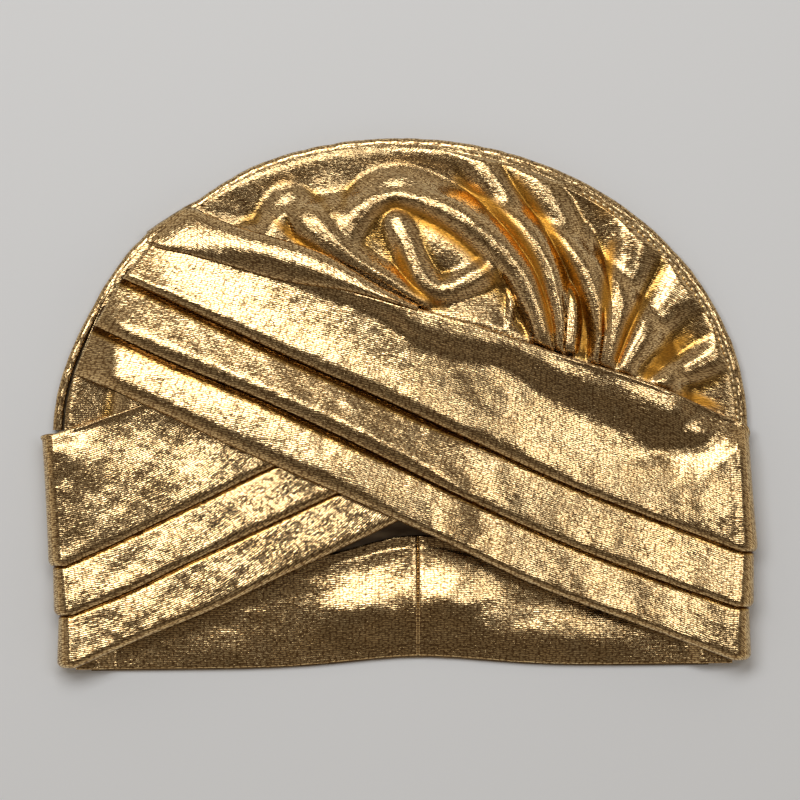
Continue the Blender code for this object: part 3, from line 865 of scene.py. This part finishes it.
def over_height(x, y):
    """Middle of the top wrap's lowest layer."""
    more_at_right = 0.00012 + 0.00018 * smooth((x + 0.2 * HALF) / HALF)
    worn = more_at_right * ripples(x, y, 0.030, 11) + 0.00005 * ripples(x, y, 0.0075, 12)
    return bed(x, y) + crossing_rise(x, y) + edge_lift(x, y) + dents(OVER_DENTS, x, y) + worn


def under_height(x, y):
    """Middle of the lower wrap's lowest layer."""
    return bed(x, y) + dents(UNDER_DENTS, x, y) + uneven("under", x, y)


def rolled(section, angle, flat, sign):
    """A section carried round the cap's side, and on along the underside."""
    x, y, lift = section[..., 0], section[..., 1], section[..., 2]
    out = ROLL_RADIUS + lift
    high = bed(x, y)
    middle, half = (high + UNDERSIDE_Z) / 2, (high - UNDERSIDE_Z) / 2
    across = x + sign * (out * np.sin(angle) - flat)
    return np.stack([across, y, middle + (half + lift) * np.cos(angle)], axis=-1)


def wrap_points(lines_at, stations, height_at, sign, top_drop, pressed, crisp):
    """Grid of a wrap, from its inner end round the side to the underside, and how much
    painted shade each point gets under a fold. pressed is how much its pleats are
    flattened at the inner end, and crisp how flat each pleat is at each station."""
    lines = lines_at(stations)
    near_side = smooth(1 - np.abs(lines[:, 0, 0] - lines[-1, 0, 0]) / SIDE_CRISP)
    section = fold_section(lines, np.maximum(crisp, near_side[:, None]))
    turns = 20
    angles = np.pi * np.arange(1, turns + 1) / turns
    lines = np.repeat(lines[-1:], turns, axis=0)
    lines[:, 0, 1] -= top_drop * (1 - np.cos(angles)) / 2
    around_side = fold_section(lines, np.ones((turns, lines.shape[1] - 1)))
    both = soften(refine(np.concatenate([section, around_side]), CELL), 1)
    section, around_side = both[: len(stations)], both[len(stations) :]
    x, y, lift, deep = (section[..., i] for i in range(4))
    lift = lift * (1 - pressed * (1 - smooth((np.abs(x - x[:1]) - 0.001) / PRESS_EASE)))
    front = np.stack([x, y, height_at(x, y) + lift], axis=-1)
    extra = (height_at(x[-1], y[-1]) - bed(x[-1], y[-1]))[None] * (1 + np.cos(angles[:, None])) / 2
    side = rolled(around_side, angles[:, None], 0, sign)
    side[..., 2] += extra
    inner_x = RETURN_X + GAP
    last = around_side[-1:]
    end = rolled(last, math.pi, sign * last[..., 0] - inner_x, sign)
    steps = 8
    under = [side[-1:] + (end - side[-1:]) * i / steps for i in range(1, steps + 1)]
    points = np.concatenate([front, side] + under)
    deep = np.concatenate([deep, around_side[..., 3], np.repeat(last[..., 3], steps, axis=0)])
    return points, deep


def make_wrap_over():
    """The top wrap, from the crown's seam at upper left round the right side."""
    stations = np.linspace(0, 1, OVER_STATIONS)
    starts = np.array([OVER_FLATTENS])
    crisp = MOSTLY_FLAT * smooth((stations[:, None] - starts) / FLATTENS_OVER)
    points, deep = wrap_points(
        over_lines, stations, over_height, 1, OVER_TOP_DROP, pressed=0.35, crisp=crisp
    )
    return cloth_sheet("wrap_over_cloth", points, flip=True, marks={"deep": deep})


def make_wrap_under():
    """The lower wrap, from its hidden end round the left side."""
    stations = np.linspace(1, 0, UNDER_STATIONS)
    crisp = np.full((UNDER_STATIONS, 3), MOSTLY_FLAT)
    points, deep = wrap_points(
        under_lines, stations, under_height, -1, UNDER_TOP_DROP, pressed=0.0, crisp=crisp
    )
    return cloth_sheet("wrap_under_cloth", points, flip=False, marks={"deep": deep})


def crown_grid():
    """Places of the crown's grid: a run for each row, from its foot to its edge."""
    starts = np.cumsum([0] + [row.runs for row in CROWN_RUNS[:-1]])
    edge_x, degrees, bow = (
        np.interp(np.arange(starts[-1] + 1), starts, [getattr(row, name) for row in CROWN_RUNS])
        for name in ("edge_x", "rim_degrees", "bow")
    )
    edge = covered_edge(crown_point(degrees, CROWN_EDGE)[0])
    rim_x, rim_y = crown_point(degrees, edge)
    half = CROWN_HALF - CROWN_EDGE
    start_x = np.clip(edge_x * HALF, -half, half)
    foot_y = CROWN_BASE_Y - FOOT_TUCK * (1 - edge_x) / 2
    start_y = CAP_LENGTH * along(GATHER_EDGE, start_x / HALF, "y")
    start_y = np.maximum(np.minimum(start_y, rim_y - FOOT_TUCK), foot_y + FOOT_TUCK)
    t = (np.arange(HIDDEN_STEPS) / HIDDEN_STEPS)[None]
    hidden_x = np.broadcast_to(start_x[:, None], (len(start_x), HIDDEN_STEPS))
    hidden_y = foot_y[:, None] + (start_y - foot_y)[:, None] * t
    t = (np.arange(SHOWN_STEPS + 1) / SHOWN_STEPS)[None]
    t = t + 0.10 * np.sin(np.pi * t)
    side = bow[:, None] * 4 * t * (1 - t)
    run_x, run_y = (rim_x - start_x)[:, None], (rim_y - start_y)[:, None]
    shown_x = start_x[:, None] + run_x * t + run_y * side
    shown_y = start_y[:, None] + run_y * t - run_x * side
    x = np.concatenate([hidden_x, shown_x], axis=1)
    y = np.concatenate([hidden_y, shown_y], axis=1)
    return x, y


def valley_share(points):
    """How far down each point of the crown's grid lies between its neighbours, from 0 to 1,
    which sets the painted shade in the crown's valleys: its mean height over places to
    both sides of it, less its own."""
    across = np.linalg.norm(np.diff(points[..., :2], axis=0), axis=2)
    place = np.concatenate([np.zeros((1, points.shape[1])), np.cumsum(across, axis=0)])
    height = points[..., 2]
    total = np.zeros(height.shape)
    reaches = VALLEY_REACH * np.array([-1.5, -1.0, -0.6, 0.6, 1.0, 1.5])
    for column in range(points.shape[1]):
        for reach in reaches:
            there = place[:, column] + reach
            total[:, column] += np.interp(there, place[:, column], height[:, column])
    return smooth((total / len(reaches) - height) / VALLEY_DEPTH)


def make_crown():
    """The gathered crown, from its foot under the wraps to its sewn edge."""
    x, y = crown_grid()
    points = np.stack([x, y, crown_height(x, y)], axis=-1)
    # The crown's valleys get painted shade, and a painted orange bounce light from the cloth around them
    marks = {"deep": VALLEY_SHADE * valley_share(points), "painted_bounce": painted_bounce(x, y)}
    return cloth_sheet("crown_cloth", points, flip=True, marks=marks)


def make_stitches():
    """The row of stitches along the inner side of the crown's seam at the right."""
    degrees = np.linspace(STITCH_FROM, STITCH_TO, 400)
    x, y = crown_point(degrees, STITCH_INSET)
    place = np.concatenate([[0], np.cumsum(np.hypot(np.diff(x), np.diff(y)))])
    dice = np.random.default_rng(51)
    vertices, faces = [], []
    rings, sides = 6, 8
    for middle in np.arange(STITCH_PITCH, place[-1], STITCH_PITCH):
        spot = np.interp(middle, place, degrees) + dice.uniform(-0.12, 0.12)
        ahead = math.radians(spot + 90)
        sx, sy = (float(value) for value in crown_point(spot, STITCH_INSET))
        high = float(crown_height(np.array([sx]), np.array([sy]))[0]) + CLOTH / 2
        long_half = STITCH_HALF_LENGTH * dice.uniform(0.8, 1.15)
        half = STITCH_RADIUS * dice.uniform(0.9, 1.2)
        first = len(vertices)
        for ring in range(rings + 1):
            lean = math.pi * ring / rings
            for side in range(sides):
                turn = 2 * math.pi * side / sides
                run, out = -long_half * math.cos(lean), half * math.sin(lean)
                off, up = out * math.cos(turn), out * math.sin(turn)
                vertices.append((
                    sx + run * math.cos(ahead) - off * math.sin(ahead),
                    sy + run * math.sin(ahead) + off * math.cos(ahead),
                    high + up,
                ))
        for ring in range(rings):
            for side in range(sides):
                a, b = first + ring * sides + side, first + ring * sides + (side + 1) % sides
                faces.append((a, b, b + sides, a + sides))
    return add_mesh("crown_stitches", vertices, faces)


def wrap_top_y(sign):
    """Where the crown's edge stops, just above the wrap's top edge at that side."""
    station = np.array([1.0 if sign > 0 else 0.0])
    lines = over_lines(station) if sign > 0 else under_lines(station)
    return float(lines[0, 0, 1]) + 4 * GAP


def squarish(wave):
    """A sine wave with fuller crests."""
    return np.sign(wave) * np.abs(wave) ** SEAM_SQUARE


def make_crown_seam():
    """The rolled seam that runs round the crown's edge."""
    sides, steps = 24, 420
    last = math.degrees(math.asin((wrap_top_y(1) - SEAM_TUCK - CROWN_BASE_Y) / CROWN_RISE))
    degrees = np.linspace(180.0, last, steps)[:, None]
    turn = np.linspace(0, 2 * math.pi, sides + 1)[None]
    x, y = crown_point(degrees, SEAM_WIDTH / 2)
    pucker = 1 + 0.05 * ripples(x, y, 0.009, 31) + 0.03 * ripples(x, y, 0.004, 32)
    out = SEAM_WIDTH / 2 * squarish(np.cos(turn)) * pucker
    up = SEAM_HEIGHT / 2 * squarish(np.sin(turn)) * pucker
    up = up - SEAM_LEAN * out * (1 + np.sin(turn)) / 2
    out_x, out_y = np.cos(np.radians(degrees)), np.sin(np.radians(degrees))
    points = np.stack([x + out_x * out, y + out_y * out, SEAM_Z + up], axis=-1)
    faces, uv = grid_faces(steps, sides + 1, flip=True), spread(points).reshape(-1, 2)
    return add_mesh("crown_seam_roll", points.reshape(-1, 3), faces, uv)


def make_top_pleat():
    """The small pleat of the crown that lies over the top wrap's upper left edge."""
    steps = 120
    share = np.linspace(TOP_PLEAT[0].x, TOP_PLEAT[-1].x, steps + 1)
    upper = CAP_LENGTH * along(TOP_PLEAT, share, "upper")
    lower = CAP_LENGTH * along(TOP_PLEAT, share, "lower")
    profile = np.array(PLEAT_SECTION)
    x = np.broadcast_to(share[:, None] * HALF, (steps + 1, len(profile)))
    y = upper[:, None] + (lower - upper)[:, None] * profile[None, :, 0]
    layer = np.broadcast_to(profile[None, :, 1], x.shape)
    grid = soften(refine(np.stack([x, y, layer * LAYER], axis=-1), CELL * 0.8), 2)
    x, y = grid[..., 0], grid[..., 1]
    z = bed(x, y) + edge_lift(x, y) + grid[..., 2]
    return cloth_sheet("top_pleat_cloth", np.stack([x, y, z], axis=-1), flip=True)


def risen_line(line, x):
    """A nearly level line with one soft rise."""
    share = x / HALF
    rise = line.rise * np.exp(-(((share - line.middle) / line.spread) ** 2))
    return CAP_LENGTH * (line.level + line.tilt * share + rise)


def make_nape_band(name, side):
    """One half of the band inside the back, from the centre seam to the side."""
    start_x = HALF * NAPE_TOP.middle + side * GAP / 4
    ends = OVER_ENDS if side > 0 else UNDER_ENDS
    end_x = side * (side_start(min(end.side for end in ends)) - GAP)
    climb_x = RETURN_X - 4 * ROLL_RADIUS / 3
    x = np.linspace(start_x, end_x, 130)[:, None]
    climb = 2 * LAYER * smooth((np.abs(x) - climb_x + ROLL_RADIUS) / (2 * ROLL_RADIUS))
    swell = NAPE_SWELL * np.exp(-(((np.abs(x) / HALF - 0.35) / 0.23) ** 2))
    low, high = risen_line(HEM, x) + 2 * GAP, risen_line(NAPE_TOP, x)
    up = np.linspace(0, 1, 60)[None]
    y = low + (high - low) * up
    hem = 1 - smooth(np.abs((1 - up) * (high - low) - NAPE_HEM) / 0.0006)
    seam = np.exp(-(((x - start_x) / 0.0012) ** 2))
    worn = uneven("nape", x, y)
    z = LAYER + SOLID_WALL / 2 + climb + swell * np.sin(math.pi * up)
    z = z - 0.00025 * hem - 0.0004 * seam + worn * np.sin(math.pi * up)
    z = z + dents(NAPE_DENTS, np.broadcast_to(x, y.shape), y) * np.sin(math.pi * up)
    points = np.stack([np.broadcast_to(x, y.shape), y, z], axis=-1)
    return cloth_sheet(name, points, flip=side > 0)


def new_material(name):
    """A new material and its shader."""
    material = bpy.data.materials.new(name)
    material.use_nodes = True
    return material, material.node_tree.nodes["Principled BSDF"]


def add_node(material, kind, **settings):
    """A node of a material or of the world, with its properties set."""
    node = material.node_tree.nodes.new("ShaderNode" + kind)
    for key, value in settings.items():
        setattr(node, key, value)
    return node


def feed(material, socket, value):
    """Links a socket's output to an input, or sets the input to a number."""
    if isinstance(value, bpy.types.NodeSocket):
        material.node_tree.links.new(value, socket)
    else:
        socket.default_value = value


def maths(material, operation, a, b=0.0):
    """Result of a Math node."""
    node = add_node(material, "Math", operation=operation)
    for socket, value in zip(node.inputs, (a, b)):
        feed(material, socket, value)
    return node.outputs["Value"]


def ramp(material, value, low, high, to_low=0.0, to_high=1.0):
    """A value's soft step from one number to another."""
    node = add_node(material, "MapRange", interpolation_type="SMOOTHSTEP")
    for name, given in (("Value", value), ("From Min", low), ("From Max", high)):
        feed(material, node.inputs[name], given)
    node.inputs["To Min"].default_value = to_low
    node.inputs["To Max"].default_value = to_high
    return node.outputs["Result"]


def blend(material, share, a, b):
    """A colour between two colours."""
    node = add_node(material, "Mix", data_type="RGBA")
    feed(material, node.inputs[0], share)
    feed(material, node.inputs[6], a)
    feed(material, node.inputs[7], b)
    return node.outputs[2]


def scaled(material, place, x, y):
    """A place on the cloth in steps of x and y metres."""
    node = add_node(material, "Mapping")
    node.inputs["Scale"].default_value = (1 / x, 1 / y, 1.0)
    feed(material, node.inputs["Vector"], place)
    return node.outputs["Vector"]


def noise(material, place, size, detail=2.0, roughness=0.5, twist=0.0):
    """Noise over the cloth with features of about one size."""
    node = add_node(material, "TexNoise", noise_dimensions="2D")
    node.inputs["Scale"].default_value = 1 / size
    node.inputs["Detail"].default_value = detail
    node.inputs["Roughness"].default_value = roughness
    node.inputs["Distortion"].default_value = twist
    feed(material, node.inputs["Vector"], place)
    return node.outputs["Fac"]


def raise_by(material, shader, height, metres):
    """Bump of a height, in steps of so many metres."""
    bump = add_node(material, "Bump")
    bump.inputs["Strength"].default_value = 1.0
    bump.inputs["Distance"].default_value = metres
    feed(material, bump.inputs["Height"], height)
    feed(material, shader.inputs["Normal"], bump.outputs["Normal"])


def lame(name):
    """Gold foil pressed on a fine knit: rows of small foil loops that each lean their
    own way, darker yarn between them, worn places and fine cracks. Under a fold its
    colour is painted a darker orange and then near black as painted shade, and in the
    crown's valleys it is painted a deeper orange, rougher and with less yarn showing,
    as painted reflection of the gold cloth around them."""
    material, shader = new_material(name)
    step, grains, mix = (partial(call, material) for call in (ramp, noise, blend))
    add, less, times, more = (
        partial(maths, material, kind) for kind in ("ADD", "SUBTRACT", "MULTIPLY", "MAXIMUM")
    )
    cloth = add_node(material, "UVMap", uv_map="cloth").outputs["UV"]

    # Loops, and where each point lies within its loop
    place = scaled(material, cloth, LOOP_LENGTH, LOOP_WIDTH)
    loops = add_node(material, "TexVoronoi", voronoi_dimensions="2D", feature="F1")
    loops.inputs["Scale"].default_value = 1.0
    loops.inputs["Randomness"].default_value = 0.65
    feed(material, loops.inputs["Vector"], place)
    reach = loops.outputs["Distance"]
    pick = add_node(material, "SeparateColor")
    feed(material, pick.inputs["Color"], loops.outputs["Color"])
    offset = add_node(material, "VectorMath", operation="SUBTRACT")
    feed(material, offset.inputs[0], place)
    feed(material, offset.inputs[1], loops.outputs["Position"])
    within = add_node(material, "SeparateXYZ")
    feed(material, within.inputs["Vector"], offset.outputs["Vector"])

    # Yarn between the loops and rows, worn places and cracks
    along_rows = scaled(material, cloth, 1.0, 0.5)
    worn = grains(along_rows, 0.0060, 4.0, 0.65)
    split = add_node(material, "SeparateXYZ")
    feed(material, split.inputs["Vector"], place)
    wander = times(grains(cloth, 0.0040), 1.2)
    rows = maths(material, "SINE", times(add(split.outputs["Y"], wander), 2 * math.pi))
    between = times(step(rows, 0.0, -0.9), ROW_SHADE)
    gaps = more(times(step(reach, 0.34, 0.58), GAP_SHADE), between)
    bare = step(add(pick.outputs["Red"], times(worn, 1.4)), 0.54, 0.40)
    veins = maths(material, "ABSOLUTE", less(grains(cloth, 0.0050, 3.0, 0.6, 0.6), 0.5))
    cracks = times(step(veins, 0.022, 0.006), step(grains(cloth, 0.0090), 0.50, 0.60))
    dark = more(bare, times(cracks, 0.6))

    # Colour and gloss
    # Painted shade: under folds and in the crown's valleys the foil is darkened to orange and then near
    # black
    deep = add_node(material, "Attribute", attribute_name="deep").outputs["Fac"]
    # Painted reflection: the crown's valleys are tinted a deeper orange as light bounced from the cloth
    # around them
    valley_bounce = add_node(material, "Attribute", attribute_name="painted_bounce").outputs["Fac"]
    foil = mix(grains(cloth, 0.0110), FOIL_DARKER, FOIL_LIGHTER)
    foil = mix(step(deep, 0.0, 0.6), foil, FOIL_FOLD_SHADE)
    foil = mix(step(valley_bounce, 0.0, 0.55), foil, FOIL_BOUNCE_PAINTED)
    foil = mix(step(deep, 0.55, 0.85), foil, FOIL_DEEP_SHADE)
    # In the painted bounce light of the crown's valleys less dark yarn shows and the foil is rougher
    gaps = times(gaps, step(valley_bounce, 0.1, 0.55, 1.0, 0.55))
    colour = mix(dark, mix(gaps, foil, YARN), YARN_BARE)
    feed(material, shader.inputs["Base Color"], colour)
    rough = more(step(dark, 0.0, 1.0, 0.19, 0.55), step(valley_bounce, 0.1, 0.55, 0.19, 0.40))
    feed(material, shader.inputs["Roughness"], rough)
    shader.inputs["Metallic"].default_value = 1.0

    # Height of the domed and leaning loops, their rows, the grain and the crumples
    domes = times(maths(material, "POWER", reach, 2.0), -LOOP_SWELL)
    lean_u = times(within.outputs["X"], less(pick.outputs["Green"], 0.5))
    lean_v = times(within.outputs["Y"], less(pick.outputs["Blue"], 0.5))
    leans = times(add(lean_u, lean_v), LOOP_LEAN)
    grain = times(grains(along_rows, 0.0018), GRAIN_HEIGHT)
    crumple = times(grains(cloth, 0.0062), CRUMPLE_HEIGHT)
    fine = add(add(domes, leans), times(rows, ROW_HEIGHT))
    raise_by(material, shader, add(fine, add(grain, crumple)), 1.0)
    return material


def inside_knit():
    """The matte wrong side of the knit: brown ribs with a fine mottle."""
    material, shader = new_material("inside_knit")
    place = add_node(material, "TexCoord").outputs["Object"]
    ribs = add_node(material, "TexWave", wave_type="BANDS", bands_direction="Y")
    ribs.inputs["Scale"].default_value = 1 / (20 * LOOP_WIDTH)
    ribs.inputs["Distortion"].default_value = 1.5
    feed(material, ribs.inputs["Vector"], place)
    mottle = noise(material, place, 0.004)
    shade = maths(material, "MULTIPLY", ribs.outputs["Fac"], mottle)
    colour = blend(material, shade, INSIDE_DARKER, INSIDE_LIGHTER)
    feed(material, shader.inputs["Base Color"], colour)
    shader.inputs["Roughness"].default_value = 0.8
    raise_by(material, shader, ribs.outputs["Fac"], RIB_HEIGHT)
    return material


def stitch_thread():
    """Gold thread of the stitches, a little brighter and duller in turns."""
    material, shader = new_material("stitch_thread")
    place = add_node(material, "TexCoord").outputs["Object"]
    colour = blend(material, noise(material, place, 0.0015), THREAD_DARKER, THREAD_LIGHTER)
    feed(material, shader.inputs["Base Color"], colour)
    shader.inputs["Metallic"].default_value = 1.0
    shader.inputs["Roughness"].default_value = 0.30
    return material


def floor_material():
    """Plain pale studio floor."""
    material, shader = new_material("pale_floor")
    shader.inputs["Base Color"].default_value = FLOOR
    shader.inputs["Roughness"].default_value = 0.9
    return material


def make_camera():
    """Straight above the cap, as far off as keeps its sides from showing."""
    view_width = IMAGE_SIDE * PIXEL
    distance = 3.0
    data = bpy.data.cameras.new("camera")
    data.sensor_width = 36.0
    data.lens = data.sensor_width * distance / view_width
    data.clip_end = 20.0
    camera = bpy.data.objects.new("camera", data)
    camera.location = (0.0, (MIDDLE_PY - IMAGE_SIDE / 2) * PIXEL, distance)
    bpy.context.scene.collection.objects.link(camera)
    bpy.context.scene.camera = camera


def make_light(row):
    """A soft rectangular light that faces the cap."""
    data = bpy.data.lights.new(row.name, "AREA")
    data.shape = "RECTANGLE"
    data.size, data.size_y = row.size
    data.energy = row.watts
    data.color = row.colour
    light = bpy.data.objects.new(row.name, data)
    light.location = row.place
    towards = -light.location
    light.rotation_mode = "QUATERNION"
    light.rotation_quaternion = towards.to_track_quat("-Z", "Y")
    bpy.context.scene.collection.objects.link(light)


def make_studio():
    """Floor, soft lights and a dim room."""
    side = 3.0
    corners = [(-side, -side, 0), (side, -side, 0), (side, side, 0), (-side, side, 0)]
    floor = add_mesh("floor", corners, [(0, 1, 2, 3)])
    floor.data.materials.append(floor_material())
    for row in LIGHTS:
        make_light(row)
    world = bpy.data.worlds.new("room")
    world.use_nodes = True
    way = add_node(world, "SeparateXYZ")
    feed(world, way.inputs["Vector"], add_node(world, "TexCoord").outputs["Generated"])
    height = way.outputs["Z"]
    walls = add_node(world, "MapRange")
    limits = {"From Min": 0.0, "From Max": 0.85, "To Min": 0.68, "To Max": 0.12}
    for key, value in limits.items():
        walls.inputs[key].default_value = value
    feed(world, walls.inputs["Value"], height)
    background = world.node_tree.nodes["Background"]
    feed(world, background.inputs["Color"], blend(world, height, ROOM_LOW, ROOM_HIGH))
    feed(world, background.inputs["Strength"], walls.outputs["Result"])
    bpy.context.scene.world = world
    bpy.context.scene.view_settings.view_transform = "Standard"


def dress(piece, material, *nodes):
    """Gives a cloth piece its material and lets it stand for its solid."""
    piece.data.materials.append(material)
    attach(piece, "root")
    if nodes:
        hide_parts(*nodes)
    return piece


def main():
    make_camera()
    make_studio()
    gold = lame("gold_lame")
    over = dress(make_wrap_over(), gold, "wrap_over")
    under = dress(make_wrap_under(), gold, "wrap_under")
    crown = dress(make_crown(), gold, "crown")
    seam = dress(make_crown_seam(), gold, "crown_seam")
    stitches = dress(make_stitches(), stitch_thread())
    pleat = dress(make_top_pleat(), gold, "top_pleat")
    left = dress(make_nape_band("nape_left_cloth", -1), gold, "nape_band_left")
    right = dress(make_nape_band("nape_right_cloth", 1), gold, "nape_band_right")
    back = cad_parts["back_panel"]
    back.data.materials.clear()
    back.data.materials.append(inside_knit())


main()
